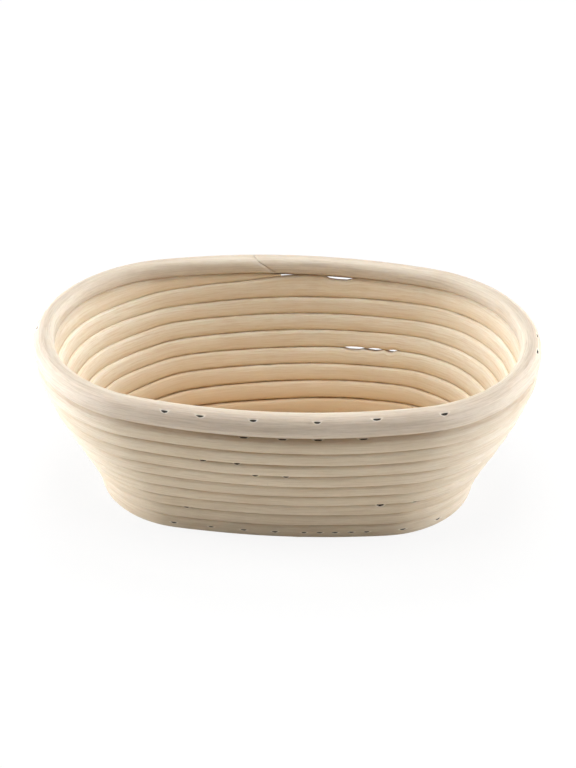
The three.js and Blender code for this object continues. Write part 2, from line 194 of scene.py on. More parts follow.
def soft_square(outer, inner):
    """Points round a soft square of half width 1: lower edge, outer face, upper edge, inner face.

    The two numbers say how square its outer and inner corners are. Its outer face gets the most points.
    """
    angle = np.linspace(-math.pi / 2, 1.5 * math.pi, 4001)
    power = 2.0 / np.where(np.cos(angle) > 0.0, outer, inner)
    across = np.sign(np.cos(angle)) * np.abs(np.cos(angle)) ** power
    upward = np.sign(np.sin(angle)) * np.abs(np.sin(angle)) ** power
    length = lengths_along(across, upward)
    half_way = length[len(length) // 2]
    second_half = 1.0 + (length - half_way) / (length[-1] - half_way)
    share = np.where(length < half_way, length / half_way, second_half) / 2
    spacing = np.where(across > 0.45, SIDE_SPACING, 1.0)
    crowded = np.concatenate([[0.0], np.cumsum(np.diff(length) / spacing[1:])])
    even = np.linspace(0.0, crowded[-1], POINTS_ROUND + 1)
    return [np.interp(even, crowded, values) for values in (across, upward, share)]


def waver(length, wavelength, seed):
    """A smooth unevenness between about -1 and 1 along a length."""
    chance = np.random.default_rng(seed)
    total = np.zeros_like(length)
    for stretch in (1.0, 0.63, 0.41, 0.27):
        start = chance.uniform(0, 2 * math.pi)
        total += stretch * np.sin(2 * math.pi * length / (wavelength * stretch) + start)
    return total / 1.6


# %% Stations along a cane
ALONG_STEP = 1.5
FINE_STEP = 0.45
FINE_REACH = 4.5


def stations(start, end, length_of_turn, fine_places):
    """Places along a cane in turns: a ring each 1.5 mm, and more of them round each staple."""
    grid = np.linspace(start, end, 40001)
    density = np.full_like(grid, 1.0 / ALONG_STEP)
    for place in fine_places:
        density[np.abs(grid - place) * length_of_turn < FINE_REACH] = 1.0 / FINE_STEP
    total = np.concatenate([[0.0], np.cumsum(density[1:] * np.diff(grid) * length_of_turn)])
    return np.interp(np.linspace(0.0, total[-1], int(total[-1]) + 2), total, grid)


# %% Rings of a cane
FIBRE_RELIEF = 0.06
NODE_SPACING = 280.0
NODE_SWELL = 0.16
NODE_LENGTH = 2.2
FAR_AWAY = 99.0
CROWN = 0.09
WIDTH_WAVER, WIDTH_WAVELENGTH = 0.02, 170.0
EDGE_RELIEF = 0.4
THIN_HALF = 3.0


def fibre_relief(along, seed):
    """Low ridges that run along the cane and wander slowly round it, in millimetres."""
    chance = np.random.default_rng(seed)
    round_angle = np.linspace(0.0, 2 * math.pi, POINTS_ROUND + 1)[None, :]
    relief = np.zeros((len(along), POINTS_ROUND + 1))
    for ridges in (3, 5, 7, 8, 11, 13, 16):
        drift = chance.uniform(0.5, 1.4) * waver(along, chance.uniform(160, 420), ridges + seed)
        strength = 0.6 + 0.4 * waver(along, chance.uniform(60, 140), ridges + seed + 50)
        relief += strength[:, None] * np.sin(ridges * round_angle + (drift * ridges / 3)[:, None])
    swell = np.exp(-(((along + seed * 37.0) % NODE_SPACING - NODE_SPACING / 2) / NODE_LENGTH) ** 2)
    return FIBRE_RELIEF * relief / 2.6 + NODE_SWELL * swell[:, None]


def cane_rings(
    place, low, high, half_width, square, seed, slopes=(0.0, 0.0), cuts=None, rest=None, tilt=(0.0, 0.0),
):
    """Rings of a cane between its lower and upper edges, given as (out, up) from the places on the oval.

    The lower and upper faces may slope down to the outside, the ends may be cut off between two heights, and
    the faces may be tilted or rubbed flat.
    """
    x, y, normal_x, normal_y = place
    along = lengths_along(x, y)
    across, upward, round_share = soft_square(*square)
    rise_out, rise_up = high[0] - low[0], high[1] - low[1]
    half = np.hypot(rise_out, rise_up) / 2
    power = np.where(across > 0.0, square[0], square[1]) - 1.0
    steep_across = np.sign(across) * np.abs(across) ** power
    steep_upward = np.sign(upward) * np.abs(upward) ** power
    steepness = np.hypot(steep_across, steep_upward)
    relief = fibre_relief(along, seed) * np.clip(half / THIN_HALF, 0.0, 1.0)[:, None]
    width = half_width * (1.0 + WIDTH_WAVER * waver(along, WIDTH_WAVELENGTH, seed + 5))
    flat_across = width[:, None] * across + relief * steep_across / steepness
    flat_upward = half[:, None] * upward + relief * steep_upward / steepness * EDGE_RELIEF
    flat_across *= 1.0 + CROWN * (1.0 - upward**2)
    flat_across -= half[:, None] * upward * np.where(across > 0.0, tilt[0], tilt[1])
    if cuts is not None:
        lowest, highest = (np.clip(cut / half, -1.0, 1.0)[:, None] for cut in cuts)
        for cut, beyond in ((lowest, upward < lowest), (highest, upward > highest)):
            room = width[:, None] * (1.0 - np.abs(cut) ** (power + 1.0)) ** (1.0 / (power + 1.0))
            flat_across = np.where(beyond, np.clip(flat_across, -room, room), flat_across)
            flat_upward = np.where(beyond, cut * half[:, None], flat_upward)
    if rest is not None:
        flat_across = np.minimum(flat_across, rest)
    share = (upward + 1.0) / 2
    low_slope, high_slope = (np.broadcast_to(slope, half.shape) for slope in slopes)
    slope = np.outer(low_slope, 1.0 - share) + np.outer(high_slope, share)
    return {
        "x": x, "y": y, "normal_x": normal_x, "normal_y": normal_y, "along": along,
        "middle_out": (low[0] + high[0]) / 2, "middle_up": (low[1] + high[1]) / 2,
        "up_out": rise_out / (2 * half), "up_up": rise_up / (2 * half),
        "across": flat_across, "upward": flat_upward - flat_across * slope,
        "push_across": steep_across / steepness, "push_upward": steep_upward / steepness,
        "round_share": round_share,
        "beside": np.full_like(relief, FAR_AWAY), "above": np.full_like(relief, FAR_AWAY),
    }


def ring_points(rings):
    """The points of the rings in millimetres, as an array of sections, points round and x, y, z."""
    def column(name):
        return rings[name][:, None]

    out = column("middle_out") + column("up_up") * rings["across"] + column("up_out") * rings["upward"]
    up = column("middle_up") - column("up_out") * rings["across"] + column("up_up") * rings["upward"]
    if "seat" in rings:
        up = np.maximum(up, rings["seat"] - out * math.tan(RIM_SEAT))
    up = np.maximum(up, 0.0)
    x = column("x") + column("normal_x") * out
    y = column("y") + column("normal_y") * out
    return np.stack([x, y, up], axis=2)


# %% Rolling the grid
END_SHRINK = 0.9


def close_ends(values, shrink):
    """Add a smaller section and a single point at each end of a row of sections."""
    if not shrink:
        return np.concatenate([values[:1], values[:1], values, values[-1:], values[-1:]])
    middle_first, middle_last = values[:1].mean(1, keepdims=True), values[-1:].mean(1, keepdims=True)
    first, last = values[:1] - middle_first, values[-1:] - middle_last
    return np.concatenate([
        middle_first + 0 * first, middle_first + END_SHRINK * first, values,
        middle_last + END_SHRINK * last, middle_last + 0 * last,
    ])


def roll_cane(name, rings):
    points = close_ends(ring_points(rings), True)
    along = close_ends(rings["along"][:, None], False)[:, 0] * MM
    sections = len(points)
    bpy.ops.object.select_all(action="DESELECT")
    bpy.ops.mesh.primitive_grid_add(x_subdivisions=sections - 1, y_subdivisions=POINTS_ROUND, size=1.0)
    cane = bpy.context.active_object
    cane.name = name
    mesh = cane.data
    mesh.name = name
    mesh.vertices.foreach_set("co", (points.transpose(1, 0, 2) * MM).astype(np.float32).ravel())
    corner_vertices = np.empty(len(mesh.loops), dtype=np.int32)
    mesh.loops.foreach_get("vertex_index", corner_vertices)
    corner_along = along[corner_vertices % sections]
    corner_round = rings["round_share"][corner_vertices // sections]
    grain = np.stack([corner_along, corner_round], axis=1)
    mesh.uv_layers[0].data.foreach_set("uv", grain.astype(np.float32).ravel())
    for mark in ("beside", "above"):
        attribute = mesh.attributes.new(mark, "FLOAT", "POINT")
        attribute.data.foreach_set("value", close_ends(rings[mark], False).T.astype(np.float32).ravel())
    bpy.ops.object.mode_set(mode="EDIT")
    bpy.ops.mesh.select_all(action="SELECT")
    bpy.ops.mesh.remove_doubles(threshold=1e-6)
    bpy.ops.mesh.normals_make_consistent(inside=False)
    bpy.ops.object.mode_set(mode="OBJECT")
    bpy.ops.object.shade_smooth()
    print(name, "triangles", 2 * len(mesh.polygons), "length in m", round(float(along[-1]), 2))
    return cane

# %% [markdown]
# ## Where the staples went in
# Each staple was punched through one turn into the next, and its crown lies sunk in a torn pit. The staples
# themselves are the construction's own wires. The lists below count their places in turns, so that each pit
# is dented into the fine cane right over its wire. A boolean cut would leave sharp, clean walls, while a dent
# pushes the surface in softly and raises a frayed lip round it. Each point near a pit also keeps its distance
# from the staple, by which the finish darkens the pit later.

# %% Staple places
RIM_STAPLE_PLACES = (
    0.06, 0.14, 0.235, 0.265, 0.4211, 0.4585, 0.4827, 0.509, 0.5311, 0.5456, 0.745, 0.84, 0.93,
)
FOOT_STAPLE_PLACES = (
    0.3603, 0.413, 0.448, 0.4573, 0.4666, 0.4758, 0.4851, 0.5024, 0.5211, 0.5405, 0.5669,
)
WALL_STAPLE_PLACES = {
    1: (0.28, 0.5537), 2: (0.4099, 0.4437), 3: (0.22, 0.64), 4: (0.34, 0.8), 5: (0.2, 0.4954, 0.5101),
    6: (0.5177, 0.5334), 7: (0.16, 0.66), 8: (0.2, 0.463, 0.4819, 0.497, 0.5134),
}
wall_staple_places = [level + place for level, places in WALL_STAPLE_PLACES.items() for place in places]
print("rim staples", len(RIM_STAPLE_PLACES), "wall staples", len(wall_staple_places))
print("foot staples", len(FOOT_STAPLE_PLACES))

# %% Punching a pit
PIT_HALF_LENGTH = 1.6
PIT_HALF_HEIGHT = 0.75
PIT_CURL = 0.35
PIT_REACH = 6.0
HOLE_EDGE, HOLE_SOFTNESS = 1.25, 0.6
LIP_PLACE, LIP_WIDTH, LIP_HEIGHT = 1.5, 0.3, 0.12
# The depth of each kind of pit, and how long and how high it is against a plain pit.
WALL_PIT = (0.7, (1.05, 1.0))
TOP_PIT = (0.7, (1.05, 0.5))
FOOT_PIT = (0.2, (0.85, 0.42))
RIM_PIT = (0.6, (1.0, 0.8))
WALL_PIT_SEED, FOOT_PIT_SEED, RIM_PIT_SEED = 200, 300, 400


def punch(rings, turns, place, aim, depth, size, seed):
    """Dent a cane over one staple that goes in at a point (across, upward) of its section.

    Every point near the staple also remembers how far along and how far round the cane it is from the staple.
    """
    if not turns[0] < place < turns[-1]:
        return
    chance = np.random.default_rng(seed)
    beside = rings["along"] - np.interp(place, turns, rings["along"])
    near = np.abs(beside) < PIT_REACH
    middle = np.argmin(np.abs(beside))
    across, upward = rings["across"][middle], rings["upward"][middle]
    length_round = lengths_along(across, upward)
    above = length_round - length_round[np.argmin(np.hypot(across - aim[0], upward - aim[1]))]
    long, high = size[0] * chance.uniform(0.9, 1.15), size[1] * chance.uniform(0.9, 1.15)
    sideways = beside[near][:, None] / (PIT_HALF_LENGTH * long)
    curled = above[None, :] / high - PIT_CURL * sideways**2 + PIT_CURL / 2
    apart = np.hypot(sideways, curled / PIT_HALF_HEIGHT)
    hole = smooth_step(HOLE_EDGE - apart, 0.0, HOLE_SOFTNESS)
    lip = np.exp(-(((apart - LIP_PLACE) / LIP_WIDTH) ** 2))
    push = LIP_HEIGHT * lip - depth * hole
    rings["across"][near] += push * rings["push_across"]
    rings["upward"][near] += push * rings["push_upward"]
    rings["beside"][near] = beside[near][:, None] / long
    rings["above"][near] = above[None, :] / high


# %% [markdown]
# ## The wall
# A cane climbs the wall in nine turns. It climbs only at the back, where each turn slips up a level.
# Its two ends are shaved thin, so that the foot and the top come out level, and its three lengths meet in
# long sloping scarfs. The line between two turns is never quite straight. Two lines with a gap would let
# light through everywhere, so one wavering line is shared by the turn above it and the turn below it. The
# canes press together along it, most of all where they bend round the ends. In a few places at the back the
# turns stand apart, and light shows through.

# %% The line between two turns
TOUCH_GAP = -0.06
END_PRESS = 0.35
END_PRESS_REACH = (0.07, 0.21)
LINE_WAVER = 0.03
LINE_WAVELENGTH = 0.23
LINE_EASE = 0.3
TOP_POINT = 9.012
TOP_TAPER = 0.04
CHINKS = (
    (5.0322, 0.0062, 1.2), (5.043, 0.0039, 1.1), (5.0532, 0.0037, 1.1), (8.12, 0.016, 0.35),
    (9.0204, 0.0073, 1.5), (9.996, 0.009, 0.6),
)
TURN_LENGTH = 2 * CORE_LENGTH + 2 * math.pi * (FOOT_REACH + profile(WALL_TURNS / 2)[0])
SCARF_TURNS = WALL_SCARF / TURN_LENGTH
TOP_SLOPE = math.tan(RIM_SEAT - math.radians(LEAN_AT_TOP))


def turn_line(turns):
    """The level of the line under a turn of the wall. The last turn ends in a point under the rim."""
    inside = np.clip(np.minimum(turns, WALL_TURNS - turns), 0.0, LINE_EASE) / LINE_EASE
    line = wall_level(turns) - 0.5 + LINE_WAVER * inside * waver(turns, LINE_WAVELENGTH, 3)
    return line + (WALL_TURNS - 0.5 - line) * smooth_step(turns, TOP_POINT - TOP_TAPER, TOP_POINT)


def chink(turns):
    """How far an opening lifts the turn over it, in levels. The turn under it gives way twice as far."""
    opening = np.zeros_like(turns)
    for place, reach, height in CHINKS:
        opening += height / 2 / PITCH * np.clip(1.0 - ((turns - place) / reach) ** 4, 0.0, 1.0)
    return opening


def seat_slope(level):
    """The slope of the line at a level: the top of the wall falls to the outside, and the rim sits on it."""
    return TOP_SLOPE * smooth_step(level, WALL_TURNS - 1.5, WALL_TURNS - 0.5)


def scarf_line(level, turns, joint):
    return level + 0.5 - (turns - joint + SCARF_TURNS / 2) / SCARF_TURNS


# %% The three lengths of wall cane
WALL_SQUARE = (4.4, 9.0)
WALL_TILT = (0.06, 0.04)
WALL_STAPLE_AIM = (CANE_WIDTH / 2 - 1.0, 4.4)
TOP_STAPLE_AIM = (CANE_WIDTH / 2 - 2.3, 4.4)
FOOT_STAPLE_AIM = (CANE_WIDTH / 2, 0.0)
CUT_GAP = 0.08


def wall_cane(name, start_joint, end_joint, seed):
    start = CLIMB_START if start_joint is None else start_joint - SCARF_TURNS / 2
    end = TOP_POINT if end_joint is None else end_joint + SCARF_TURNS / 2
    turns = stations(start, end, TURN_LENGTH, wall_staple_places + list(FOOT_STAPLE_PLACES))
    from_end = np.abs(turns % 0.5 - 0.25)
    press = END_PRESS * (1.0 - smooth_step(from_end, *END_PRESS_REACH))
    press_above = np.where(turns < WALL_TURNS - 1.0, press, 0.0)
    lower = np.maximum(turn_line(turns) + chink(turns), -0.5) + (TOUCH_GAP - press) / 2 / PITCH
    upper = np.minimum(turn_line(turns + 1.0) - 2 * chink(turns + 1.0), WALL_TURNS - 0.5)
    upper -= (TOUCH_GAP - press_above) / 2 / PITCH
    thick = (upper - lower) * PITCH > SHAVED_TIP / 2
    turns, lower, upper = turns[thick], lower[thick], upper[thick]
    level = wall_level(turns)
    middle = (lower + upper) / 2
    cuts = [np.full_like(turns, -FAR_AWAY), np.full_like(turns, FAR_AWAY)]
    if start_joint is not None:
        start_cut = (scarf_line(level, turns, start_joint) - middle) * PITCH
        cuts[0] = np.minimum(start_cut + CUT_GAP / 2, CANE_WIDTH)
    if end_joint is not None:
        end_cut = (scarf_line(level, turns, end_joint) - middle) * PITCH
        cuts[1] = np.maximum(end_cut - CUT_GAP / 2, -CANE_WIDTH)
    centre_out = profile(level)[0]
    low_out, low_up = profile(lower)
    high_out, high_up = profile(upper)
    place = wall_oval(level, turns, centre_out)
    low, high = (low_out - centre_out, low_up), (high_out - centre_out, high_up)
    slopes = (seat_slope(lower), seat_slope(upper))
    rings = cane_rings(place, low, high, CANE_WIDTH / 2, WALL_SQUARE, seed, slopes, cuts, tilt=WALL_TILT)
    for i, staple in enumerate(wall_staple_places):
        under_rim = staple > WALL_TURNS - 1.0
        aim, pit = (TOP_STAPLE_AIM, TOP_PIT) if under_rim else (WALL_STAPLE_AIM, WALL_PIT)
        punch(rings, turns, staple, aim, *pit, WALL_PIT_SEED + i)
    for i, staple in enumerate(FOOT_STAPLE_PLACES):
        punch(rings, turns, staple, FOOT_STAPLE_AIM, *FOOT_PIT, FOOT_PIT_SEED + i)
    return roll_cane(name, rings)


wall_lower = wall_cane("fine_wall_lower", None, WALL_JOINTS[0], 11)
wall_middle = wall_cane("fine_wall_middle", WALL_JOINTS[0], WALL_JOINTS[1], 12)
wall_upper = wall_cane("fine_wall_upper", WALL_JOINTS[1], None, 13)
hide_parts("wall_cane_lower")
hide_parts("wall_cane_middle")
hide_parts("wall_cane_upper")

# %% [markdown]
# ## The rim
# The rim is one stouter hoop. It sits on the sloping seat at the wall's top and stands out past it, while
# its flatter inner side lies nearly flush with the turn below. Its ends lap in a short sloping cut at the
# back. A torus pressed into an oval would give the hoop, but the rim is rolled as the wall canes are, because
# it shows the same grain and takes the same staples.

# %% The rim hoop
RIM_SQUARE = (2.4, 3.2)
RIM_INNER_SHARE = 0.86
RIM_HALF_WIDTH, RIM_HALF_HEIGHT = 5.2, 5.95
RIM_STAPLE_AIM = (3.7, 4.6)
RIM_LENGTH = 2 * CORE_LENGTH + 2 * math.pi * (FOOT_REACH + RIM_OUT)
RIM_SCARF_TURNS = RIM_SCARF / RIM_LENGTH
rim_low_edge = RIM_TOP - 2 * RIM_HALF_HEIGHT

rim_start, rim_end = RIM_JOINT - RIM_SCARF_TURNS / 2, RIM_JOINT + 1.0 + RIM_SCARF_TURNS / 2
rim_turns = stations(rim_start, rim_end, RIM_LENGTH, list(RIM_STAPLE_PLACES) + [rim_start, rim_end])
rim_slant = 2 * RIM_HALF_HEIGHT / RIM_SCARF_TURNS
rim_cuts = (
    CUT_GAP / 2 - rim_slant * (rim_turns - RIM_JOINT),
    rim_slant * (RIM_JOINT + 1.0 - rim_turns) - CUT_GAP / 2,
)
rim_place = wall_oval(np.full_like(rim_turns, WALL_TURNS), rim_turns, RIM_OUT)
flat = np.zeros_like(rim_turns)
rim_edges = ((flat, flat + rim_low_edge), (flat, flat + RIM_TOP))
rim_rings = cane_rings(rim_place, *rim_edges, RIM_HALF_WIDTH, RIM_SQUARE, 21, cuts=rim_cuts)
rim_rings["across"] *= np.where(rim_rings["across"] < 0.0, RIM_INNER_SHARE, 1.0)
rim_rings["seat"] = WALL_TOP_UP + RIM_INSET * math.tan(RIM_SEAT) + TOUCH_GAP
for i, staple in enumerate(RIM_STAPLE_PLACES):
    punch(rim_rings, rim_turns, staple, RIM_STAPLE_AIM, *RIM_PIT, RIM_PIT_SEED + i)
rim = roll_cane("fine_rim", rim_rings)
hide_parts("rim_hoop")

# %% [markdown]
# ## The floor
# The floor is a flat spiral: a short straight core, and four turns of cane laid round it in half ovals whose
# centres change sides, so that each turn moves out by one width. The last half turn is shaved to fill the
# narrowing space inside the wall's foot. Its underside is rubbed flat where the basket stands.

# %% The spiral and its core
REST_CUT = 0.5
CORE_TIP_SHARE = 0.6
FLOOR_MIDDLE = CANE_WIDTH / 2 - REST_CUT
BOW_PER_TURN = FOOT_BOW / (FLOOR_TURNS + 1)
FLOOR_SQUARE = (3.4, 3.4)


def floor_place(turns):
    on_right = turns % 1.0 < 0.5
    turn = np.floor(turns) + np.where(on_right, 0.0, 0.5)
    reach, bow = turn * PITCH, turn * BOW_PER_TURN
    x, y, normal_x, normal_y = oval(CORE_LENGTH / 2 + reach + bow, reach + bow, reach, turns)
    return x, y + np.where(on_right, 0.0, (PITCH + BOW_PER_TURN) / 2), normal_x, normal_y


def flat_rings(place, thickness, inner, seed):
    level = np.full_like(thickness, FLOOR_MIDDLE)
    low, high = (inner, level), (inner + thickness, level)
    return cane_rings(place, low, high, CANE_WIDTH / 2, FLOOR_SQUARE, seed, rest=CANE_WIDTH / 2 - REST_CUT)


FULL_TURN = PITCH - TOUCH_GAP
FLOOR_TURN_LENGTH = 2 * CORE_LENGTH + 130.0
coil_turns = stations(1.0 - SIDE_SHARE / 4, FLOOR_TURNS + 1.0, FLOOR_TURN_LENGTH, [])
coil_place = floor_place(coil_turns)
narrowing = PITCH * (1.0 - coil_place[3]) / 2 - TOUCH_GAP
coil_thick = np.where(coil_turns < FLOOR_TURNS + 0.5, FULL_TURN, np.minimum(narrowing, FULL_TURN))
kept = coil_thick > 0.5
coil_place = [values[kept] for values in coil_place]
coil_thick = coil_thick[kept]
tip_place = [np.concatenate([values[:1], values]) for values in coil_place]
tip_place[0][0] -= CORE_TIP
coil_thick = np.concatenate([[CORE_TIP_SHARE * FULL_TURN], coil_thick])
coil_inner = np.full_like(coil_thick, -FULL_TURN / 2)
floor_coil = roll_cane("fine_floor_coil", flat_rings(tip_place, coil_thick, coil_inner, 31))
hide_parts("floor_coil")

core_x = np.linspace(-CORE_LENGTH / 2 - CORE_TIP, CORE_LENGTH / 2 + CORE_TIP, 60)
core_taper = np.clip((np.abs(core_x) - CORE_LENGTH / 2) / CORE_TIP, 0.0, 1.0)
core_thick = FULL_TURN * (1.0 - (1.0 - CORE_TIP_SHARE) * core_taper)
core_place = (core_x, np.zeros_like(core_x), np.zeros_like(core_x), np.ones_like(core_x))
floor_core = roll_cane("fine_floor_core", flat_rings(core_place, core_thick, -core_thick / 2, 32))
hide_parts("floor_core")

# %% [markdown]
# ## Finishes
# Peeled rattan is pale, dry and fibrous: fine streaks run along each cane and the tone drifts slowly from
# cream to tan. Where two turns touch, brown shade is painted in patches. A photograph of wood can't follow a
# cane that winds round nine times, but the grain of a noise texture can, because it is stretched along the
# cane by the UV map that the roll left. Light and shade are painted in as well: the inside is painted paler
# than the outside to make up for the shade inside the basket, the outside is painted paler towards the round
# ends where the side lamps light it most, and the inner faces are painted darker low down and on the lower
# part of each turn. The pits are painted nearly black, as shade that also stands for the wire in them. The
# rim is the same cane with a greyer skin. The staples are dull wire.

# %% Small helpers for shader nodes
def linear(red, green, blue):
    """A colour picked from a screen, 0 to 255, as the shader needs it."""
    shares = [value / 255.0 for value in (red, green, blue)]
    return [s / 12.92 if s <= 0.04045 else ((s + 0.055) / 1.055) ** 2.4 for s in shares] + [1.0]


def new_finish(name):
    finish = bpy.data.materials.new(name)
    finish.use_nodes = True
    return finish, finish.node_tree, finish.node_tree.nodes["Principled BSDF"]


def put(tree, kind, settings=(), **sockets):
    """Add a node, set its options and its sockets, or link a socket to another node's output.

    A socket is given by its name, or by an underscore and its number.
    """
    node = tree.nodes.new(kind)
    for option, value in dict(settings).items():
        setattr(node, option, value)
    for socket, value in sockets.items():
        target = node.inputs[int(socket[1:]) if socket[0] == "_" else socket]
        if isinstance(value, bpy.types.NodeSocket):
            tree.links.new(value, target)
        else:
            target.default_value = value
    return node


def mix_colours(tree, share, first, second):
    return put(tree, "ShaderNodeMix", {"data_type": "RGBA"}, _0=share, _6=first, _7=second).outputs[2]


def calc(tree, operation, first, second=0.0, third=0.0):
    return put(tree, "ShaderNodeMath", {"operation": operation}, _0=first, _1=second, _2=third).outputs[0]


def between(tree, value, low, high, new_low=0.0, new_high=1.0):
    options = {"interpolation_type": "SMOOTHSTEP"}
    sockets = {"Value": value, "From Min": low, "From Max": high, "To Min": new_low, "To Max": new_high}
    return put(tree, "ShaderNodeMapRange", options, **sockets).outputs[0]


def streaks(tree, grain, per_metre, round_count, detail, roughness=0.6):
    """Noise stretched along the cane: so many changes in a metre, and so many round it."""
    stretched = put(tree, "ShaderNodeMapping", Vector=grain, Scale=(per_metre, round_count, 1.0)).outputs[0]
    sockets = {"Vector": stretched, "Scale": 1.0, "Detail": detail, "Roughness": roughness}
    noise = put(tree, "ShaderNodeTexNoise", {"noise_dimensions": "2D"}, **sockets)
    return noise.outputs["Fac"]


# %% What the roll left on a cane
def from_pit(tree):
    """How far a point is from the nearest staple, where 1 is the edge of the staple's pit."""
    beside = put(tree, "ShaderNodeAttribute", {"attribute_name": "beside"}).outputs["Fac"]
    above = put(tree, "ShaderNodeAttribute", {"attribute_name": "above"}).outputs["Fac"]
    sideways = calc(tree, "DIVIDE", beside, PIT_HALF_LENGTH)
    sideways_squared = calc(tree, "MULTIPLY", sideways, sideways)
    curl = calc(tree, "MULTIPLY", sideways_squared, PIT_CURL)
    lifted = calc(tree, "SUBTRACT", calc(tree, "ADD", above, PIT_CURL / 2), curl)
    upward = calc(tree, "DIVIDE", lifted, PIT_HALF_HEIGHT)
    return calc(tree, "SQRT", calc(tree, "ADD", sideways_squared, calc(tree, "MULTIPLY", upward, upward)))


def painted_groove_shade(tree, grain, outward, edgeward, endward, end_groove_shade):
    """How much shade is painted at a point: patches where two turns touch, less outside and at the round
    ends.
    """
    patchy = between(tree, streaks(tree, grain, 90.0, 3.0, 3.0), 0.3, 0.65, 0.35, 1.0)
    patchy = calc(tree, "MULTIPLY", patchy, between(tree, outward, -0.4, 0.4, 1.0, 0.4))
    patchy = calc(tree, "MULTIPLY", patchy, between(tree, endward, 0.03, 0.09, 1.0, end_groove_shade))
    return calc(tree, "MULTIPLY", between(tree, edgeward, 0.62, 0.76), patchy)


# %% Peeled cane
# Each kind of fibre: changes in a metre, changes round the cane, detail, roughness, where it begins to show,
# where it shows in full, and its share of the dark tone. They go from a slow drift of tone to single hairs.
FIBRES = (
    (9.0, 1.0, 2.0, 0.6, 0.35, 0.75, 0.3),
    (14.0, 9.0, 3.0, 0.6, 0.4, 0.75, 0.35),
    (45.0, 46.0, 3.0, 0.7, 0.42, 0.72, 0.5),
    (150.0, 120.0, 2.0, 0.7, 0.5, 0.7, 0.35),
)
DEEP_SHADE_TONE = linear(208, 168, 116)
DASH_SHADE_TONE = linear(116, 80, 46)
LIP_TONE = linear(248, 240, 226)
PIT_SHADE_TONE = linear(40, 30, 22)
FRAYING = 0.8


def cane_finish(name, inside, outside, ends, dark, dark_outside, groove_shade, groove_shade_share, end_groove_shade, both_edges):
    finish, tree, shader = new_finish(name)
    grain = put(tree, "ShaderNodeUVMap", {"uv_map": "UVMap"}).outputs[0]
    round_share = put(tree, "ShaderNodeSeparateXYZ", Vector=grain).outputs["Y"]
    turn_angle = calc(tree, "MULTIPLY", round_share, 2 * math.pi)
    outward = calc(tree, "SINE", turn_angle)
    downward = calc(tree, "COSINE", turn_angle)
    edgeward = calc(tree, "ABSOLUTE", downward) if both_edges else downward
    object_place = put(tree, "ShaderNodeTexCoord").outputs["Object"]
    place = put(tree, "ShaderNodeSeparateXYZ", Vector=object_place).outputs
    endward = calc(tree, "ABSOLUTE", place["X"])

    facing_out = between(tree, outward, -0.4, 0.4)
    # Painted highlight: the outside turns paler towards the round ends, where the side lamps light it most.
    outside = mix_colours(tree, between(tree, endward, 0.05, 0.11, 0.0, 0.5), outside, ends)
    # Painted light: the inside faces get a paler colour than the outside, to make up for the shade inside the
    # basket.
    base = mix_colours(tree, facing_out, inside, outside)
    dark = mix_colours(tree, facing_out, dark, dark_outside)
    # Painted shade: the lower part of each turn's inner face is darker, as it faces down, away from the light
    # above.
    toned = mix_colours(tree, between(tree, round_share, 0.66, 0.88, 0.0, 0.5), base, dark)
    # Painted shade: the inner faces are darker low down, deep in the basket.
    low_down = between(tree, place["Z"], 0.045, 0.01, 0.0, 0.5)
    painted_deep_shade = calc(tree, "MULTIPLY", between(tree, outward, 0.0, -0.5), low_down)
    toned = mix_colours(tree, painted_deep_shade, toned, DEEP_SHADE_TONE)
    noises = []
    for per_metre, round_count, detail, roughness, begins, full, share in FIBRES:
        noises.append(streaks(tree, grain, per_metre, round_count, detail, roughness))
        toned = mix_colours(tree, between(tree, noises[-1], begins, full, 0.0, share), toned, dark)
    fine, hairs = noises[-2:]

    # Painted shade: brown in the grooves where two turns touch, with darker dashes, thinner outside and at
    # the ends.
    groove_shaded = painted_groove_shade(tree, grain, outward, edgeward, endward, end_groove_shade)
    shade_dashes = between(tree, streaks(tree, grain, 55.0, 2.0, 2.0), 0.54, 0.66, 0.0, 0.75)
    groove_shade = mix_colours(tree, shade_dashes, groove_shade, DASH_SHADE_TONE)
    toned = mix_colours(tree, calc(tree, "MULTIPLY", groove_shaded, groove_shade_share), toned, groove_shade)
    fray = calc(tree, "MULTIPLY", calc(tree, "SUBTRACT", hairs, 0.5), FRAYING)
    ragged = calc(tree, "ADD", from_pit(tree), fray)
    toned = mix_colours(tree, between(tree, ragged, 2.0, 1.3, 0.0, 0.5), toned, LIP_TONE)
    # Painted shade in each pit: nearly black, which also stands for the dark wire in it.
    toned = mix_colours(tree, between(tree, ragged, 1.15, 0.85, 0.0, 0.97), toned, PIT_SHADE_TONE)

    tree.links.new(toned, shader.inputs["Base Color"])
    tree.links.new(between(tree, fine, 0.3, 0.7, 0.62, 0.8), shader.inputs["Roughness"])
    shader.inputs["Specular IOR Level"].default_value = 0.3
    shader.inputs["Subsurface Weight"].default_value = 0.25
    shader.inputs["Subsurface Radius"].default_value = (1.0, 0.6, 0.35)
    shader.inputs["Subsurface Scale"].default_value = 0.0016
    ridges = calc(tree, "ADD", calc(tree, "MULTIPLY", fine, 0.6), calc(tree, "MULTIPLY", hairs, 0.4))
    bump = put(tree, "ShaderNodeBump", Height=ridges, Strength=0.35, Distance=0.0006)
    tree.links.new(bump.outputs[0], shader.inputs["Normal"])
    return finish


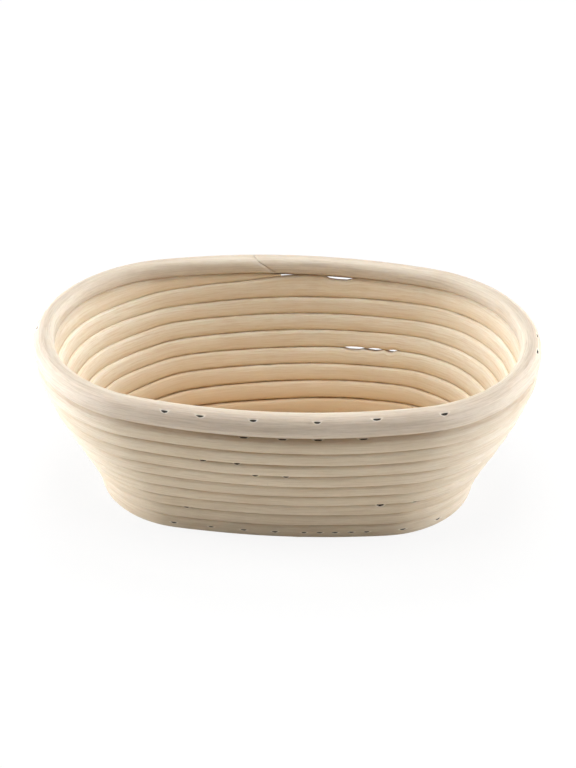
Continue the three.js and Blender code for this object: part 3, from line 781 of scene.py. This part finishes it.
# Painted light in these colours: the inside is painted paler to make up for its shade, and the ends colour is
# a painted highlight.
peeled_cane = cane_finish(
    "peeled_cane", inside=linear(253, 243, 224), outside=linear(220, 203, 178), ends=linear(240, 232, 220),
    dark=linear(224, 200, 164), dark_outside=linear(196, 174, 144), groove_shade=linear(190, 142, 90),
    groove_shade_share=0.6, end_groove_shade=0.25, both_edges=True,
)
rim_cane = cane_finish(
    "rim_cane", inside=linear(231, 219, 200), outside=linear(221, 205, 186), ends=linear(228, 215, 198),
    dark=linear(196, 178, 156), dark_outside=linear(188, 169, 147), groove_shade=linear(172, 130, 84),
    groove_shade_share=0.9, end_groove_shade=1.0, both_edges=False,
)
for cane in (wall_lower, wall_middle, wall_upper, floor_coil, floor_core):
    cane.data.materials.append(peeled_cane)
    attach(cane, "root")
rim.data.materials.append(rim_cane)
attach(rim, "root")
print("finishes", peeled_cane.name, rim_cane.name, "kinds of fibre", len(FIBRES))

# %% Galvanised wire
staple_wire, wire_tree, wire_shader = new_finish("staple_wire")
wire_place = put(wire_tree, "ShaderNodeTexCoord").outputs["Object"]
spangle = put(wire_tree, "ShaderNodeTexNoise", Vector=wire_place, Scale=900.0, Detail=3.0).outputs["Fac"]
DULL_WIRE, BRIGHT_WIRE = linear(46, 36, 26), linear(84, 70, 54)
wire_colour = mix_colours(wire_tree, between(wire_tree, spangle, 0.35, 0.7), DULL_WIRE, BRIGHT_WIRE)
wire_tree.links.new(wire_colour, wire_shader.inputs["Base Color"])
wire_shader.inputs["Metallic"].default_value = 0.25
wire_tree.links.new(between(wire_tree, spangle, 0.3, 0.7, 0.35, 0.6), wire_shader.inputs["Roughness"])
staple_wires = [node for name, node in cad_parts.items() if "staple" in name]
for wire in staple_wires:
    wire.material_slots[0].material = staple_wire
print("staples with the wire finish", len(staple_wires))

# %% [markdown]
# ## Studio
# The basket stands on a white table. Soft lamps light it from above, from behind and from both sides, none
# from the front, so the front gets most of its light from the table, and the lower edge of each turn is the
# brighter one. The camera stands well back with a long lens, turned a little to the right of the front and
# looking down into the basket. The table and the world look white to the camera, while the light that they
# give the basket stays at a plain level.

# %% Table and world
def to_the_eye(tree):
    """1 for what the camera sees straight, in a gloss or through glass, and 0 for light on other things."""
    ray = put(tree, "ShaderNodeLightPath").outputs
    seen = calc(tree, "MAXIMUM", ray["Is Camera Ray"], ray["Is Glossy Ray"])
    return calc(tree, "MAXIMUM", seen, ray["Is Transmission Ray"])


bpy.ops.object.select_all(action="DESELECT")
bpy.ops.mesh.primitive_plane_add(size=12.0, location=(0.0, 0.0, 0.0))
table = bpy.context.active_object
table.name = "table"
table_finish, table_tree, table_shader = new_finish("table")
table_shader.inputs["Base Color"].default_value = linear(248, 247, 244)
table_shader.inputs["Roughness"].default_value = 0.9
SHADOW_SHARE = 0.12
glow = put(table_tree, "ShaderNodeEmission", Color=(1.0, 1.0, 1.0, 1.0), Strength=1.0)
share = calc(table_tree, "MULTIPLY", to_the_eye(table_tree), 1.0 - SHADOW_SHARE)
blend = put(table_tree, "ShaderNodeMixShader", _0=share, _1=table_shader.outputs[0], _2=glow.outputs[0])
table_tree.links.new(blend.outputs[0], table_tree.nodes["Material Output"].inputs["Surface"])
table.data.materials.append(table_finish)

world = bpy.data.worlds.new("studio")
bpy.context.scene.world = world
world.use_nodes = True
sky_tree = world.node_tree
sky = sky_tree.nodes["Background"]
FILL = 0.026
sky.inputs["Color"].default_value = (1.0, 1.0, 1.0, 1.0)
strength = put(sky_tree, "ShaderNodeMapRange", Value=to_the_eye(sky_tree), _3=FILL, _4=1.0).outputs[0]
sky_tree.links.new(strength, sky.inputs["Strength"])
print("table and world set, fill", FILL)

# %% Soft lamps
AIM = (0.0, 0.0, 0.0475)


def soft_lamp(name, place, size, power, colour=(1.0, 1.0, 1.0)):
    data = bpy.data.lights.new(name, "AREA")
    data.shape = "DISK"
    data.size = size
    data.energy = power
    data.color = colour
    lamp = bpy.data.objects.new(name, data)
    bpy.context.collection.objects.link(lamp)
    lamp.location = place
    towards = lamp.location.copy()
    towards.xyz = [end - start for end, start in zip(AIM, place)]
    lamp.rotation_euler = towards.to_track_quat("-Z", "Y").to_euler()
    return lamp


COOL = (0.96, 1.0, 1.06)
lamps = [
    soft_lamp("lamp_above", (0.0, -0.25, 1.6), 0.8, 11.5),
    soft_lamp("lamp_back", (0.0, 0.6, 1.4), 0.8, 10.6),
    soft_lamp("lamp_left", (-1.5, 0.1, 0.14), 1.0, 45.0, COOL),
    soft_lamp("lamp_right", (1.5, 0.1, 0.16), 1.0, 33.5, COOL),
]
print("lamps", [lamp.name for lamp in lamps])

# %% Camera
PICTURE_WIDTH = 576
FOCAL_PIXELS = 2639.0
SENSOR = 36.0
AZIMUTH, ELEVATION = math.radians(4.08), math.radians(32.66)
DISTANCE = 1.320
AIM_LEFT, AIM_BELOW = 1.23, 13.81

camera_data = bpy.data.cameras.new("camera")
camera_data.sensor_fit = "HORIZONTAL"
camera_data.sensor_width = SENSOR
camera_data.lens = FOCAL_PIXELS * SENSOR / PICTURE_WIDTH
camera_data.shift_x = AIM_LEFT / PICTURE_WIDTH
camera_data.shift_y = AIM_BELOW / PICTURE_WIDTH
camera = bpy.data.objects.new("camera", camera_data)
bpy.context.collection.objects.link(camera)
level_step = math.cos(ELEVATION)
back = (math.sin(AZIMUTH) * level_step, -math.cos(AZIMUTH) * level_step, math.sin(ELEVATION))
camera.location = [aim + DISTANCE * step for aim, step in zip(AIM, back)]
camera.rotation_euler = (math.pi / 2 - ELEVATION, 0.0, AZIMUTH)
bpy.context.scene.camera = camera
bpy.context.scene.view_settings.view_transform = "Standard"
print("lens in mm", round(camera_data.lens, 1))
